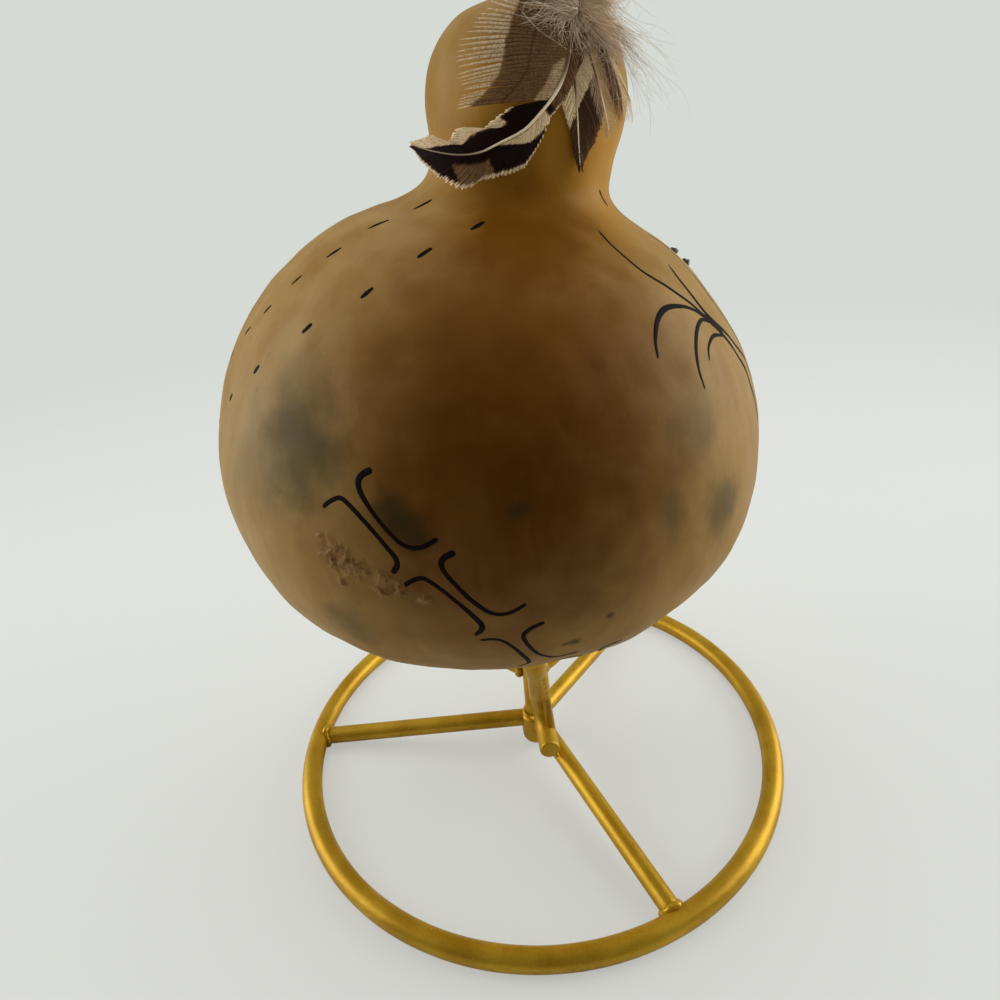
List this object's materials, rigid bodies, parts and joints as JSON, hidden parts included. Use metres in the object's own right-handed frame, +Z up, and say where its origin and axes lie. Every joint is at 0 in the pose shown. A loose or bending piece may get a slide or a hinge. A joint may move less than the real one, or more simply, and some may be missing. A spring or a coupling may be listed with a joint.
{
  "type": "painted gourd on a wire stand",
  "caption": "Painted bottle gourd, dried and varnished, with a stem and a cluster of tied feathers, resting on a welded round-rod ring stand",
  "frame": {"origin": "centre of the stand's ring, on the surface it stands on", "axes": "+Z up; -Y is the side that the picture faces; +X is to the viewer's right, the way the gourd leans"},
  "size_m": [0.1586, 0.1586, 0.2308],
  "materials": {
    "gold_rod": "satin gold lacquer on mild steel rod",
    "weld": "lumpy weld under the same satin gold lacquer",
    "gourd_skin": "dried gourd rind, mottled tan to amber, with dark painted lines under satin varnish",
    "stem": "dry ribbed stem, dull brown",
    "seed": "dry pale seed",
    "stone": "dark grey-green stone crumb, set in glue",
    "cord": "twisted plant-fibre cord, dull",
    "feather": "brown feather barred with cream, soft sheen"
  },
  "bodies": {
    "stand": {"base_ring": "gold_rod", "spoke_left": "gold_rod", "spoke_front": "gold_rod", "spoke_rear": "gold_rod", "ring_weld_left": "weld", "ring_weld_front": "weld", "ring_weld_rear": "weld", "hub": "gold_rod", "centre_post": "gold_rod", "hub_weld": "weld", "cradle_arm_front": "gold_rod", "cradle_arm_left": "gold_rod", "cradle_arm_right": "gold_rod", "seat_ring": "gold_rod", "post_weld_front": "weld", "post_weld_left": "weld", "post_weld_right": "weld", "foot_weld": "weld", "seat_weld_front": "weld", "seat_weld_left": "weld", "seat_weld_right": "weld"},
    "gourd": {"gourd_shell": "gourd_skin", "stem": "stem", "seed_1": "seed", "seed_2": "seed", "seed_3": "seed", "seed_4": "seed", "seed_5": "seed", "stone_crumb_1": "stone", "stone_crumb_2": "stone", "stone_crumb_3": "stone", "stem_cord": "cord"},
    "feathers": {"quill_whipping": "cord", "feather_curled": "feather", "feather_banded": "feather", "feather_fine": "feather", "feather_downy": "feather"}
  },
  "joints": [
    {"name": "gourd_lift", "type": "slide", "parent": "stand", "child": "gourd", "axis": [0, 0, 1], "range_m": [0, 0.15]},
    {"name": "feather_swing", "type": "hinge", "parent": "gourd", "child": "feathers", "pos_m": [0.01673, -0.00468, 0.21955], "axis": [-0.8679, -0.4695, 0.1624], "range_deg": [0, 55]}
  ]
}
